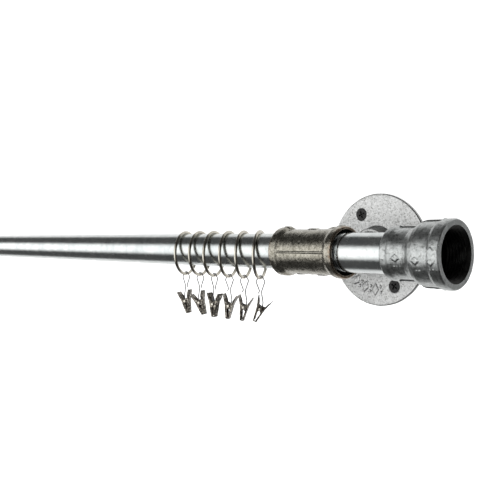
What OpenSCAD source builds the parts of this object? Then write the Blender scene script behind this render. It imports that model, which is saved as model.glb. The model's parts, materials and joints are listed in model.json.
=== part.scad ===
// Wall-mounted curtain rod made of plumbing pipe, with six clip rings.
// +X runs along the rod, +Y points into the wall, +Z is up.
// The origin is the centre of the right-hand flange's back face, on the wall.

/* [Rod] */
// Distance between the centres of the two brackets
span = 900; // [600:10:1600]
// Distance from the wall to the rod's axis
wall_gap = 80; // [70:1:120]
// Outer diameter of the pipe
pipe_d = 26.9; // [26.4:0.1:27.2]
// Wall thickness of the pipe
pipe_wall = 2.6; // [2:0.1:3.2]

/* [Pipe thread] */
// Diameter over the crests of the male thread
thread_d = 26.4; // [26.2:0.1:26.4]
// Distance from one thread crest to the next
thread_pitch = 1.8; // [1.5:0.1:2.5]
// Depth of one thread groove
thread_depth = 1.0; // [0.6:0.1:1.1]
// Length of pipe screwed into a fitting
thread_engaged = 13; // [11:0.5:15]
// Length of male thread that shows outside a fitting
thread_showing = 2.2; // [0:0.1:4]

/* [Tee] */
// Length of the tee's straight run
tee_run = 58.4; // [54:0.1:70]
// Outer diameter of the cast body
tee_body_d = 32.4; // [31.8:0.1:33]
// Outer diameter of the bands at its mouths
tee_band_d = 36.2; // [35:0.1:38]
// Width of each band
tee_band_w = 6.5; // [4:0.1:9]

/* [Flange] */
// Outer diameter of the flange
flange_d = 89; // [80:1:100]
// Thickness of its plate
flange_t = 4; // [3:0.1:6]
// Outer diameter of its threaded hub
hub_d = 34; // [33:0.1:36]
// Height of the hub above the wall
hub_h = 15; // [14:0.5:20]
// Diameter of the circle through the two screw holes
screw_circle_d = 64.4; // [60:0.2:70]
// Angle of the first screw hole, seen from the room
screw_angle = 119; // [90:1:150]

/* [Wall screws] */
// Head diameter
screw_head_d = 9.8; // [8:0.1:10]
// Shank diameter
screw_shank_d = 5; // [4:0.1:5]
// Overall length
screw_l = 38; // [30:1:50]
// Length of plain shank behind the wall face
screw_plain_l = 8; // [5:1:12]

/* [Reducer finial] */
// Gap between the tee's mouth and the reducer
nipple_showing = 37.8; // [20:0.1:60]
// Length of the reducer
reducer_l = 43.6; // [42:0.1:50]
// Outer diameter of the band at its small end
reducer_small_d = 35; // [34:0.1:37]
// Outer diameter of the band at its open end
reducer_big_d = 43; // [42:0.1:45]
// Bore of the open end's socket
socket_d = 30.6; // [30.2:0.1:32]
// Depth of that socket
socket_depth = 17; // [14:0.5:19]

/* [Rings] */
// Outer diameter of a ring
ring_d = 38.5; // [37:0.1:40]
// Diameter of its wire
ring_wire_d = 2.5; // [2:0.1:2.6]
// Positions along the rod, counted from the right-hand bracket
ring_x = [-54.8, -73.1, -90.8, -109.5, -128, -147.4];
// How far each ring is turned about the vertical
ring_yaw = [28.5, 25.5, 23, 21, 21, 21];

/* [Hooks] */
// Wire diameter
hook_wire_d = 0.9; // [0.7:0.05:1]
// Distance from the ring's wire down to the clip's pin
hook_l = 23.8; // [23:0.1:26]
// How far each hook is turned further than its ring
hook_yaw = [10, 8, 4, -11, 0, 0];
// 1 where the long leg is on the left, 0 where it is on the right
hook_mirrored = [0, 0, 0, 1, 1, 1];

/* [Clips] */
// How far each clip leans in its hook, jaws towards +X positive
clip_tilt = [-26, -11, -8, -2, 20, 13];
// Height of the handles above the pin
handle_h = 9.4; // [8:0.1:11]
// Depth of the jaws below the pin
jaw_h = 10.7; // [9:0.1:12]
// Distance between the jaws' plates at the tips
tip_spread = 2.6; // [2:0.1:3.2]
// Distance between the two handle ends
handle_spread = 11.6; // [10:0.1:13]
// Sheet thickness
sheet_t = 0.5; // [0.4:0.05:0.6]
// Pin diameter
pin_d = 1.4; // [1.2:0.05:1.5]
// Spring wire diameter
spring_wire_d = 0.45; // [0.35:0.05:0.5]

/* [Hidden] */
SIDES = ["right", "left"];
BRACKET = ["flange", "wall_screws", "standoff_nipple", "tee", "end_nipple", "reducer"];
CLIP = ["ring", "hook", "clip_fixed_jaw", "clip_moving_jaw", "clip_pin", "clip_spring"];
RINGS = len(ring_x);

$fn = 64;
cut = 0.01;                        // overshoot of a cut past a face
pipe_r = pipe_d / 2;
pipe_bore_r = pipe_r - pipe_wall;
thread_r = thread_d / 2;
fit_gap = 0.03;                    // between a male thread's crests and its socket
run_out = 1.4;                     // rod thread left showing beside a tee
edge = 0.8;                        // rounding of the castings' edges, drawn as a chamfer
socket_r = thread_r + fit_gap;
passage_r = 11.8;                  // clear way through a fitting
tee_half = tee_run / 2;
tee_seat = thread_engaged + 0.5;   // depth of the tee's sockets
reducer_x = tee_half + nipple_showing;
standoff_l = wall_gap - tee_half - hub_h;

zinc = [0.62, 0.65, 0.66];
cast_zinc = [0.66, 0.67, 0.66];
malleable = [0.45, 0.44, 0.38];
black_steel = [0.09, 0.09, 0.1];
nickel = [0.66, 0.63, 0.57];
wire_steel = [0.72, 0.72, 0.73];
dark_nickel = [0.3, 0.29, 0.27];

// ---- frames ----

// Places children at a bracket: the left one is the mirror image of the right one
module at_side(side) {
    if (side == "right") children();
    else translate([-span, 0, 0]) mirror([1, 0, 0]) children();
}

// Turns +Z towards +X, for shapes turned about the rod's axis
module along_x() { rotate([0, 90, 0]) children(); }

// Turns +Z towards -Y, for shapes turned about a line out of the wall
module out_of_wall() { rotate([90, 0, 0]) children(); }

// ---- pipe and thread ----

// Half section of a male thread from z = 0 up to length, crests at thread_r
function thread_outline(length) =
    let (root_r = thread_r - thread_depth, turns = floor(length / thread_pitch))
    [for (i = [0:turns - 1], p = [[root_r, 0], [root_r, 0.25], [thread_r, 0.5], [thread_r, 0.75]])
        [p[0], (i + p[1]) * thread_pitch]];

// A pipe along +Z with a male thread at both ends
module threaded_pipe(length, thread_l) {
    grooved_l = floor(thread_l / thread_pitch) * thread_pitch;
    low = thread_outline(thread_l);
    high = [for (i = [len(low) - 1:-1:0]) [low[i][0], length - low[i][1]]];
    rotate_extrude()
        polygon(concat(
            [[pipe_bore_r, 0]], low,
            [[thread_r, grooved_l], [pipe_r, grooved_l + 0.6]],
            [[pipe_r, length - grooved_l - 0.6], [thread_r, length - grooved_l]], high,
            [[pipe_bore_r, length]]));
}

module rod() {
    end_x = tee_half - thread_engaged;
    color(zinc)
        translate([-span + end_x, -wall_gap, 0])
            along_x()
                threaded_pipe(span - 2 * end_x, thread_engaged + run_out);
}

module end_nipple(side) {
    color(zinc)
        at_side(side)
            translate([tee_half - thread_engaged, -wall_gap, 0])
                along_x()
                    threaded_pipe(nipple_showing + 2 * thread_engaged, thread_engaged + thread_showing);
}

module standoff_nipple(side) {
    color(zinc)
        at_side(side)
            translate([0, -hub_h + thread_engaged, 0])
                out_of_wall()
                    threaded_pipe(standoff_l + 2 * thread_engaged, thread_engaged + thread_showing);
}

// ---- fittings ----

// Half section of a socket end: a body that ends in a band with a bead on its lip
function band_outline(body_r, band_r, band_w, z_end) =
    let (step = band_r - body_r)
    [[body_r, z_end - band_w - step], [band_r - edge, z_end - band_w],
     [band_r, z_end - band_w + edge], [band_r, z_end - edge], [band_r - edge, z_end]];

module tee_solid() {
    body_r = tee_body_d / 2;
    band_r = tee_band_d / 2;
    rotate_extrude()
        polygon(concat([[0, 0]], [[body_r, 0]],
            band_outline(body_r, band_r, tee_band_w, tee_half), [[0, tee_half]]));
}

module socket_bore(depth, mouth_z) {
    translate([0, 0, mouth_z - depth]) cylinder(r = socket_r, h = depth + cut);
}

module tee(side) {
    color(malleable)
        at_side(side)
            translate([0, -wall_gap, 0])
                difference() {
                    union() {
                        along_x() tee_solid();
                        rotate([0, -90, 0]) tee_solid();
                        rotate([-90, 0, 0]) tee_solid();
                    }
                    for (turn = [[0, 90, 0], [0, -90, 0], [-90, 0, 0]])
                        rotate(turn) {
                            socket_bore(tee_seat, tee_half);
                            cylinder(r = passage_r, h = tee_half);
                        }
                }
}

module flange_solid() {
    rim_r = flange_d / 2;
    hub_r = hub_d / 2;
    rotate_extrude()
        polygon([
            [socket_r, 0], [rim_r - edge, 0], [rim_r, edge], [rim_r, flange_t - edge], [rim_r - edge, flange_t],
            [hub_r + 5, flange_t + 0.2], [hub_r + 2, flange_t + 1], [hub_r + 0.6, flange_t + 2.6],
            [hub_r, flange_t + 5], [hub_r, hub_h - edge], [hub_r - edge, hub_h], [socket_r, hub_h]]);
}

// Places children at the two screw holes, +Z out of the wall
module at_screws() {
    out_of_wall()
        for (turn = [0, 180])
            rotate([0, 0, screw_angle + turn])
                translate([screw_circle_d / 2, 0, 0]) children();
}

screw_neck_r = screw_shank_d / 2 + 0.1;   // where the shank meets the countersunk head
screw_gap = 0.1;                          // around the neck in its hole

module flange(side) {
    hole_r = screw_neck_r + screw_gap;
    head_r = screw_head_d / 2;
    head_h = head_r - screw_neck_r;
    color(cast_zinc)
        at_side(side)
            difference() {
                out_of_wall() flange_solid();
                at_screws() {
                    translate([0, 0, -cut]) cylinder(r = hole_r, h = flange_t + 1);
                    translate([0, 0, flange_t - head_h])
                        cylinder(r1 = hole_r, r2 = head_r + 0.25, h = head_h + 0.05);
                }
            }
}

module wall_screw() {
    head_r = screw_head_d / 2;
    shank_r = screw_shank_d / 2;
    core_r = shank_r - 0.7;
    head_h = head_r - screw_neck_r;
    recess_w = 1.1;
    recess_l = 5.4;
    recess_h = 1.6;
    tip_h = 5;
    pitch = 2.4;
    threads = floor((screw_l - flange_t - screw_plain_l - tip_h) / pitch);
    thread_top = -screw_plain_l;
    thread_bottom = thread_top - threads * pitch;
    difference() {
        rotate_extrude()
            polygon(concat(
                [[0, thread_bottom - tip_h], [core_r, thread_bottom]],
                [for (i = [threads - 1:-1:0], p = [[core_r, 1], [core_r, 0.7], [shank_r, 0.5], [core_r, 0.3]])
                    [p[0], thread_top - (i + p[1]) * pitch]],
                [[core_r, thread_top], [shank_r, thread_top + cut], [shank_r, 0]],
                [[screw_neck_r, flange_t - head_h], [head_r, flange_t], [0, flange_t]]));
        translate([0, 0, flange_t - recess_h])
            for (turn = [0, 90])
                rotate([0, 0, turn])
                    translate([-recess_l / 2, -recess_w / 2, 0]) cube([recess_l, recess_w, 2 * recess_h]);
    }
}

module wall_screws(side) {
    color(black_steel) at_side(side) at_screws() wall_screw();
}

barrel_small_r = reducer_small_d / 2 - 1.2;   // the barrel beside the small end's band
barrel_big_r = reducer_big_d / 2 - 1.4;       // the barrel beside the open end's band
small_band_w = 5.8;
big_band_w = 7.2;

// Half section of the reducer's barrel and shoulder, lifted by lift for the cast ribs
function shoulder_outline(lift) =
    let (small_r = barrel_small_r + lift, rise = barrel_big_r - barrel_small_r, l = reducer_l)
    [[small_r, l * 0.37], [small_r + rise * 0.2, l * 0.43], [small_r + rise * 0.78, l * 0.5],
     [small_r + rise * 0.97, l * 0.56]];

// Half section of the reducer's outside
function reducer_outline() =
    let (small_r = reducer_small_d / 2, big_r = reducer_big_d / 2, l = reducer_l)
    concat(
        [[small_r - edge, 0], [small_r, edge], [small_r, small_band_w - 1],
         [small_r - edge, small_band_w], [barrel_small_r, small_band_w + 1.6]],
        shoulder_outline(0),
        [[barrel_big_r, l - big_band_w - 1.4], [big_r - edge, l - big_band_w],
         [big_r, l - big_band_w + edge], [big_r, l - edge], [big_r - edge, l]]);

// Half section of one rib, which runs from inside one band to inside the other
function rib_outline(lift) =
    let (root_r = barrel_small_r - 0.4, start = small_band_w / 2, end = reducer_l - big_band_w / 2)
    concat(
        [[root_r, start], [barrel_small_r + lift, start]], shoulder_outline(lift),
        [[barrel_big_r + lift, end], [root_r, end]]);

module reducer(side) {
    rib_lift = 0.9;
    rib_turn = 7;
    small_seat = thread_engaged + 0.5;
    mouth_r = 17.6;
    mouth_h = 2.2;
    color(cast_zinc)
        at_side(side)
            translate([reducer_x, -wall_gap, 0])
                along_x()
                    difference() {
                        union() {
                            rotate_extrude() polygon(concat([[0, 0]], reducer_outline(), [[0, reducer_l]]));
                            for (turn = [0, 180])
                                rotate([0, 0, turn - rib_turn / 2])
                                    rotate_extrude(angle = rib_turn) polygon(rib_outline(rib_lift));
                        }
                        translate([0, 0, -cut]) cylinder(r = socket_r, h = small_seat + cut);
                        cylinder(r = passage_r, h = reducer_l);
                        translate([0, 0, reducer_l - socket_depth])
                            cylinder(r = socket_d / 2, h = socket_depth + cut);
                        translate([0, 0, reducer_l - mouth_h])
                            cylinder(r1 = socket_d / 2, r2 = mouth_r, h = mouth_h + cut);
                    }
}

// ---- rings ----

ring_mean_r = (ring_d - ring_wire_d) / 2;
ring_rest_r = pipe_r + ring_wire_d / 2 + 0.05;   // from the rod's axis to the wire's centre

// Height of a ring's centre when it hangs on the rod: a ring that is turned
// far enough rests on two points beside the rod's top and sits a little higher
function ring_z(yaw) =
    let (straight = ring_rest_r - ring_mean_r, s2 = pow(sin(yaw), 2), c2 = pow(cos(yaw), 2))
    s2 * ring_mean_r <= -straight ? straight
        : -sqrt((c2 * pow(ring_mean_r, 2) - pow(ring_rest_r, 2)) * s2 / c2);

// Places children at the centre of ring k: +X along the ring's axis, +Y in its plane
module at_ring(k) {
    translate([ring_x[k], -wall_gap, ring_z(ring_yaw[k])]) rotate([0, 0, ring_yaw[k]]) children();
}

// Places children where hook k crosses the bottom of the ring's wire
module at_hook(k) {
    at_ring(k) translate([0, 0, -ring_mean_r]) rotate([0, 0, hook_yaw[k]]) children();
}

// Places children on the pin of clip k, upright in the clip
module at_clip(k) {
    at_hook(k) translate([0, 0, -hook_l]) rotate([0, -clip_tilt[k], 0]) children();
}

module ring(k) {
    color(nickel)
        at_ring(k)
            along_x()
                rotate_extrude($fn = 96) translate([ring_mean_r, 0]) circle(d = ring_wire_d, $fn = 32);
}

// ---- hooks ----

hook_arch_r = ring_wire_d / 2 + hook_wire_d / 2 + 0.15;
hook_eye_r = pin_d / 2 + hook_wire_d / 2 + 0.09;
flank = 27;                // slope of the legs where they leave the arch
eye_wrap = 285;            // how far the eye goes round the pin

function unit(v) = v / norm(v);

// Points of an arc in the XZ plane, n steps from angle a0 to angle a1
function arc(centre, r, a0, a1, n) =
    [for (i = [0:n]) let (a = a0 + (a1 - a0) * i / n) centre + r * [cos(a), sin(a)]];

// Points of the bend of radius r that joins the straights a-b and b-c
function bend(a, b, c, r, n) =
    let (
        before = unit(b - a), after = unit(c - b),
        turn = acos(before * after), side = cross(before, after) > 0 ? 1 : -1,
        start = b - before * r * tan(turn / 2),
        to_centre = side * [-before[1], before[0]],
        a0 = atan2(-to_centre[1], -to_centre[0]))
    arc(start + r * to_centre, r, a0, a0 + side * turn, n);

// A round wire swept along points in the XZ plane
module swept_wire(points, d) {
    sides = 8;
    last = len(points) - 1;
    rings = [for (i = [0:last])
        let (
            along = unit(points[min(i + 1, last)] - points[max(i - 1, 0)]),
            across = [-along[1], along[0]])
        for (j = [0:sides - 1])
            let (a = 360 * j / sides, p = points[i] + across * d / 2 * cos(a))
            [p[0], d / 2 * sin(a), p[1]]];
    walls = [for (i = [0:last - 1], j = [0:sides - 1])
        let (k = (j + 1) % sides, lo = i * sides, hi = lo + sides)
        for (face = [[lo + j, lo + k, hi + k], [lo + j, hi + k, hi + j]]) face];
    polyhedron(rings, concat(walls,
        [[for (j = [sides - 1:-1:0]) j], [for (j = [0:sides - 1]) last * sides + j]]));
}

// Points of a bent leg from the arch's end at the neck, on the +X side
function hook_leg(neck, foot, neck_r) =
    let (
        arch_end = hook_arch_r * [cos(flank), sin(flank)],
        knee = arch_end + 4 * [sin(flank), -cos(flank)])
    concat(bend(arch_end, knee, neck, 1.1, 3), bend(knee, neck, foot, neck_r, 2));

function turned_over(points) = [for (i = [len(points) - 1:-1:0]) [-points[i][0], points[i][1]]];

module hook(k) {
    neck = [0.7, -10.6];
    foot = [hook_eye_r + 0.7, -hook_l + 5];
    eye = [hook_eye_r, -hook_l];
    short_end = [1.6, -11.8];
    path = concat(
        [[-short_end[0], short_end[1]]],
        turned_over(hook_leg([0.8, -9.8], short_end, 1.6)),
        arc([0, 0], hook_arch_r, 180 - flank, flank, 6),
        hook_leg(neck, foot, 4),
        bend(neck, foot, eye, 6, 2),
        arc([0, -hook_l], hook_eye_r, 0, -eye_wrap, 15));
    color(wire_steel)
        at_hook(k) mirror([hook_mirrored[k], 0, 0]) swept_wire(path, hook_wire_d);
}

// A straight round wire between two points in the XZ plane
module wire_straight(start, end, d) {
    step = end - start;
    translate([start[0], 0, start[1]])
        rotate([0, 90 - atan2(step[1], step[0]), 0]) cylinder(d = d, h = norm(step), $fn = 24);
}

// ---- clips ----
// In a clip's own frame the pin lies along Y, the jaws point down and the
// moving jaw is on the +X side.

waist_x = 3.1;             // from the pin to the sheet, across the clip
jaw_w = 6.6;               // width of both jaws along the pin
tip_w = 4.6;               // width at the jaws' tips
fixed_ear_y = 2.85;        // inner face of the fixed jaw's ears
moving_ear_y = 2.28;       // inner face of the moving jaw's ears
ear_t = 0.45;              // thickness of the ears
ear_r = 1.75;              // radius of the ears around the pin
spring_mean_r = 1.35;      // mean radius of the coils
spring_inner_y = 0.55;     // where the coils begin, beside the hook's eye
coil_turns = 4;            // turns on each side of the eye
tip_gap = 0.06;            // between the closed jaws' teeth
tooth = 0.7;               // height of a tooth

waist_z = 0.6;             // height of the bend above the pin
lip_z = -jaw_h + 0.3;      // where the plate ends at the tip
jaw_points = [[-tip_spread / 2, lip_z], [-waist_x, waist_z],
              [-handle_spread / 2 + 0.5, handle_h - 1.9], [-handle_spread / 2, handle_h - 0.3]];

// Place of the plate's middle across the clip at height z, below the bend
function plate_x(z) =
    -waist_x + (waist_x - tip_spread / 2) * (waist_z - z) / (waist_z - lip_z);

// Sheet metal bent through points in the XZ plane, w wide along Y
module bent_sheet(points, w) {
    for (i = [0:len(points) - 2]) {
        step = points[i + 1] - points[i];
        translate([points[i][0], 0, points[i][1]])
            rotate([0, -atan2(step[1], step[0]), 0])
                translate([0, -w / 2, -sheet_t / 2]) cube([norm(step), w, sheet_t]);
    }
    for (p = points)
        translate([p[0], w / 2, p[1]]) rotate([90, 0, 0]) cylinder(d = sheet_t, h = w, $fn = 24);
}

// Outline of a jaw seen along the X axis: narrow at the tip, flared at the handle
module jaw_outline() {
    rotate([90, 0, 90])
        linear_extrude(height = 30, center = true)
            polygon([[-tip_w / 2, -jaw_h - 1], [tip_w / 2, -jaw_h - 1], [jaw_w / 2, -3.5],
                     [jaw_w / 2, 5], [jaw_w / 2 + 0.3, 6.5], [jaw_w / 2 + 0.3, handle_h - 1],
                     [jaw_w / 2 - 0.6, handle_h + 1], [-jaw_w / 2 + 0.6, handle_h + 1],
                     [-jaw_w / 2 - 0.3, handle_h - 1], [-jaw_w / 2 - 0.3, 6.5], [-jaw_w / 2, 5],
                     [-jaw_w / 2, -3.5]]);
}

// One ear with its hole, from the sheet on the -X side to around the pin
module ear(y, hole_r) {
    translate([0, y + ear_t, 0])
        rotate([90, 0, 0])
            linear_extrude(height = ear_t)
                difference() {
                    union() {
                        circle(r = ear_r);
                        polygon([[-waist_x - 0.2, 2.6], [-waist_x, waist_z], [plate_x(-5.2), -5.2],
                                 [plate_x(-5.2) + 0.6, -5.2], [1.4, -1.05], [0.6, 1.6]]);
                    }
                    circle(r = hole_r, $fn = 48);
                }
}

// The turned-in tip of a jaw, a toothed strip that ends gap short of the middle
module jaw_tip(gap, phase) {
    teeth = 3;
    step = tip_w / teeth;
    zigzag = [for (i = [0:teeth - 1], p = [0, 0.5])
        [(p == phase ? -1 : 1) * tooth / 2 - gap, -tip_w / 2 + (i + p) * step]];
    last = [(phase == 0 ? -1 : 1) * tooth / 2 - gap, tip_w / 2];
    root_x = -tip_spread / 2;
    translate([0, 0, -jaw_h])
        linear_extrude(height = sheet_t + 0.1)
            polygon(concat([[root_x, -tip_w / 2]], zigzag, [last, [root_x, tip_w / 2]]));
}

// A whole jaw on the -X side
module jaw(ear_y, hole_r, phase) {
    intersection() {
        bent_sheet(jaw_points, jaw_w + 1);
        jaw_outline();
    }
    jaw_tip(tip_gap, phase);
    ear(ear_y, hole_r);
    mirror([0, 1, 0]) ear(ear_y, hole_r);
}

module clip_fixed_jaw(k) {
    color(dark_nickel) at_clip(k) jaw(fixed_ear_y, pin_d / 2 + 0.02, 0);
}

module clip_moving_jaw(k) {
    color(dark_nickel) at_clip(k) mirror([1, 0, 0]) jaw(moving_ear_y, pin_d / 2 + 0.06, 0.5);
}

module clip_pin(k) {
    half = fixed_ear_y + ear_t + 0.05;
    head_t = 0.4;
    color(nickel)
        at_clip(k)
            rotate([90, 0, 0]) {
                cylinder(d = pin_d, h = 2 * half, center = true, $fn = 48);
                for (z = [-half - head_t, half]) translate([0, 0, z]) cylinder(r = 1.2, h = head_t, $fn = 48);
            }
}

// Close-wound coils beside the hook's eye, a bridge between them on the fixed
// jaw's side and a leg on the moving jaw's side of each
module clip_spring(k) {
    wire_r = spring_wire_d / 2;
    coil_pitch = 0.93 * spring_wire_d;
    coil_l = (coil_turns - 1) * coil_pitch + spring_wire_d;
    leg_y = spring_inner_y + coil_l - wire_r;
    bridge_y = spring_inner_y + wire_r;
    leg_top = 5.2;
    leg_x = waist_x + 0.75;
    color(wire_steel)
        at_clip(k) {
            for (side = [-1, 1])
                translate([0, side * (spring_inner_y + coil_l / 2), 0])
                    rotate([90, 0, 0])
                        rotate_extrude($fn = 48) {
                            for (i = [0:coil_turns - 1])
                                translate([spring_mean_r, i * coil_pitch - coil_l / 2 + wire_r])
                                    circle(d = spring_wire_d, $fn = 16);
                        }
            for (side = [-1, 1]) {
                translate([0, side * leg_y, 0]) wire_straight([0.7, 1.1], [leg_x, leg_top], spring_wire_d);
                translate([0, side * bridge_y, 0])
                    wire_straight([-0.7, 1.1], [-leg_x, leg_top], spring_wire_d);
            }
            translate([-leg_x, 0, leg_top])
                rotate([90, 0, 0]) cylinder(d = spring_wire_d, h = 2 * bridge_y, center = true, $fn = 24);
        }
}

// ---- nodes ----

rod();
for (s = SIDES) {
    flange(s);
    wall_screws(s);
    standoff_nipple(s);
    tee(s);
    end_nipple(s);
    reducer(s);
}
for (k = [0:RINGS - 1]) {
    ring(k);
    hook(k);
    clip_fixed_jaw(k);
    clip_moving_jaw(k);
    clip_pin(k);
    clip_spring(k);
}
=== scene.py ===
"""Looks of the pipe curtain rod: a detailed mesh and a procedural material for every piece."""

import json
import math

import bmesh
import bpy
import numpy as np
from mathutils import Matrix, Vector, noise


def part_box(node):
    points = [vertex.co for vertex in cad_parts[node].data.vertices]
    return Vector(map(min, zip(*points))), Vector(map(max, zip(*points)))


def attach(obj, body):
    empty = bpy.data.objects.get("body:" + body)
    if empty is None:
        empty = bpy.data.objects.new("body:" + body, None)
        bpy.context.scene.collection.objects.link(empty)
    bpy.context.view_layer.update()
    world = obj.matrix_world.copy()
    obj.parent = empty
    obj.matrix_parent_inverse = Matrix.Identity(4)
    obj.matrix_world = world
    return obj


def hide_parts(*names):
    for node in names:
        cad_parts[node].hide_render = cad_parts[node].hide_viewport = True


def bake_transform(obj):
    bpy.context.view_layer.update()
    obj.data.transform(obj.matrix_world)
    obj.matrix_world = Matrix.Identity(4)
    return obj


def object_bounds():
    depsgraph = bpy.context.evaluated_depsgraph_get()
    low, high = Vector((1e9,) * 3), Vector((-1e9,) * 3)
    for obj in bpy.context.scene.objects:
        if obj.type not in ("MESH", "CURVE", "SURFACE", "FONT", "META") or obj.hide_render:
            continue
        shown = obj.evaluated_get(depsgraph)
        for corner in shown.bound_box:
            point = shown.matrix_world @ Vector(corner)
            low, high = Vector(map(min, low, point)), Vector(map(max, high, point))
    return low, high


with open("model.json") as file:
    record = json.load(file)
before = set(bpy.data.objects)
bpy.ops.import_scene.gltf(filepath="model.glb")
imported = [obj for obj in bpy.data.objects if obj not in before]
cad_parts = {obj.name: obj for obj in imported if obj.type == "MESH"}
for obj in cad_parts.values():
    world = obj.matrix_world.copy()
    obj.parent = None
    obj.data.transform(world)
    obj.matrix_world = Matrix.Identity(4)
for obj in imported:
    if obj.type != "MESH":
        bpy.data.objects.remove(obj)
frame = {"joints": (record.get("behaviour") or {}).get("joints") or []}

CAD_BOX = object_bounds()
MM = 0.001
X, Y, Z = (np.array(v, float) for v in ((1, 0, 0), (0, 1, 0), (0, 0, 1)))

# ---- sizes, in millimetres, as in the CAD source ----

PIPE_R = 13.45
PIPE_BORE_R = 10.85
THREAD_R = 13.2
THREAD_PITCH = 1.8
THREAD_DEPTH = 1.0
THREAD_ENGAGED = 13
NIPPLE_THREAD = 15.2
TEE_HALF = 29.2
TEE_BODY_R = 16.2
TEE_BAND_R = 18.1
TEE_BAND_W = 6.5
FLANGE_R = 44.5
FLANGE_T = 4
HUB_R = 17
HUB_H = 15
SCREW_CIRCLE_R = 32.2
SCREW_ANGLE = 119
SCREW_HEAD_R = 4.9
SCREW_SHANK_R = 2.5
SCREW_TIP = 32.2
TEE_MOUTH_R = 15.9
TEE_MARK_RISE = 0.55
FITTING_BORE_R = 11.8
FITTING_SOCKET_R = 13.25
MARK_RISE = 0.5
PIP_RISE = 0.2
FLANGE_MARK_RISE = 0.75
FLANGE_MARK_R = 31.5
REDUCER_X = 67
REDUCER_L = 43.6
REDUCER_SOCKET_R = 15.3
REDUCER_SOCKET_DEPTH = 17
REDUCER_INSIDE_R = 17.3
RING_R = 18
RING_WIRE_R = 1.25
HOOK_WIRE_R = 0.45
HOOK_L = 23.8
HOOK_ARCH_R = 1.85
HOOK_EYE_R = 1.24
HOOK_FLANK = math.radians(27)
HOOK_MIRRORED = (0, 0, 0, 1, 1, 1)
CLIP_TILT = (-26, -11, -8, -2, 20, 13)
JAW_H = 10.7
TIP_X = 1.3
HANDLE_H = 9.4
WAIST_X = 3.1
HANDLE_X = 5.8
SHEET_T = 0.5
JAW_HALF = 2.3
HANDLE_HALF = 3.45
EAR_DEPTH = 4.3
TOOTH_PITCH = 1.53
FIXED_EAR_U = 3.07
MOVING_EAR_U = 2.5
PIN_R = 0.7
SPRING_R = 1.35
SPRING_WIRE_R = 0.225
SPRING_PITCH = 0.46
SPRING_TURNS = 3

RINGS = len(CLIP_TILT)
TURN = 2 * math.pi

# ---- frames: origin, two cross directions and an axis ----


class Frame:
    """A right-handed set of axes in the row frame; local points are in millimetres."""

    def __init__(self, origin, first, axis):
        self.origin = np.array(origin, float)
        self.first = np.array(first, float)
        self.axis = np.array(axis, float)
        self.second = np.cross(self.axis, self.first)

    def place(self, a, b, c):
        """World points, in metres, of local coordinates along first, second and axis."""
        spread = [np.asarray(v, float)[..., None] * MM for v in (a, b, c)]
        return self.origin + spread[0] * self.first + spread[1] * self.second + spread[2] * self.axis


def centre_of(node):
    """The middle of a CAD node's box."""
    low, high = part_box(node)
    return np.array((low + high) / 2)


ROD_Y = centre_of("rod")[1]
MIRROR_X = (centre_of("right_tee")[0] + centre_of("left_tee")[0]) / 2
ON_ROD = np.array((0, ROD_Y, 0))
OUT = Frame((0, 0, 0), X, -Y)  # out of the wall, angles from +X towards +Z


def joint(name):
    """The record's entry for a joint."""
    return next(j for j in frame["joints"] if j["name"] == name)


# ---- mesh making ----


def smoothstep(low, high, v):
    """0 below low and 1 above high, with a smooth rise between."""
    t = np.clip((np.asarray(v, float) - low) / (high - low), 0, 1)
    return t * t * (3 - 2 * t)


def bump_at(centre, width, v):
    """A smooth bump of height 1 and the given half width."""
    return 1 - smoothstep(0, width, np.abs(np.asarray(v, float) - centre))


def mesh_object(name, points, faces, sharp=40):
    """A smooth-shaded object; edges steeper than sharp degrees stay crisp."""
    mesh = bpy.data.meshes.new(name)
    mesh.from_pydata(points.tolist(), [], faces)
    mesh.validate()
    mesh.shade_smooth()
    mesh.set_sharp_from_angle(angle=math.radians(sharp))
    obj = bpy.data.objects.new(name, mesh)
    bpy.context.scene.collection.objects.link(obj)
    return obj


def outward(obj):
    """Turns every face outward."""
    work = bmesh.new()
    work.from_mesh(obj.data)
    bmesh.ops.remove_doubles(work, verts=work.verts, dist=1e-7)
    bmesh.ops.recalc_face_normals(work, faces=work.faces)
    work.to_mesh(obj.data)
    work.free()
    return obj


def rounded(points, radius, step, closed=True):
    """The outline through points with its corners rounded and its straights cut to at most step."""
    pts = [np.array(p, float) for p in points]
    count = len(pts)
    out = []
    for i in range(count):
        here = pts[i]
        if not closed and i in (0, count - 1):
            out.append(here)
            continue
        before, after = pts[i - 1] - here, pts[(i + 1) % count] - here
        room = 0.45 * min(np.linalg.norm(before), np.linalg.norm(after))
        d0, d1 = before / np.linalg.norm(before), after / np.linalg.norm(after)
        open_angle = math.acos(max(-1, min(1, float(d0 @ d1))))
        if open_angle > 3.1:
            out.append(here)
            continue
        trim = min(room, radius / math.tan(open_angle / 2))
        start, end = here + d0 * trim, here + d1 * trim
        for t in np.linspace(0, 1, 5):
            out.append((1 - t) ** 2 * start + 2 * t * (1 - t) * here + t * t * end)
    fine = []
    total = len(out)
    for i in range(total if closed else total - 1):
        a, b = out[i], out[(i + 1) % total]
        cuts = max(1, math.ceil(np.linalg.norm(b - a) / step))
        fine += [a + (b - a) * k / cuts for k in range(cuts)]
    if not closed:
        fine.append(out[-1])
    return np.array(fine)


def turned(name, outline, base, around, deform=None, closed=True):
    """A surface turned about base's axis; outline holds (radius, height) points."""
    theta = np.arange(around) * TURN / around
    angles = theta[:, None] * np.ones(len(outline))
    r = outline[:, 0] * np.ones((around, 1))
    h = outline[:, 1] * np.ones((around, 1))
    if deform:
        r, h = deform(angles, r, h)
    points = base.place(r * np.cos(angles), r * np.sin(angles), h).reshape(-1, 3)
    rows, columns = around, len(outline)
    last = columns if closed else columns - 1
    faces = [
        (i * columns + j, (i + 1) % rows * columns + j,
         (i + 1) % rows * columns + (j + 1) % columns, i * columns + (j + 1) % columns)
        for i in range(rows) for j in range(last)
    ]
    return outward(mesh_object(name, points, faces))


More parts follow.
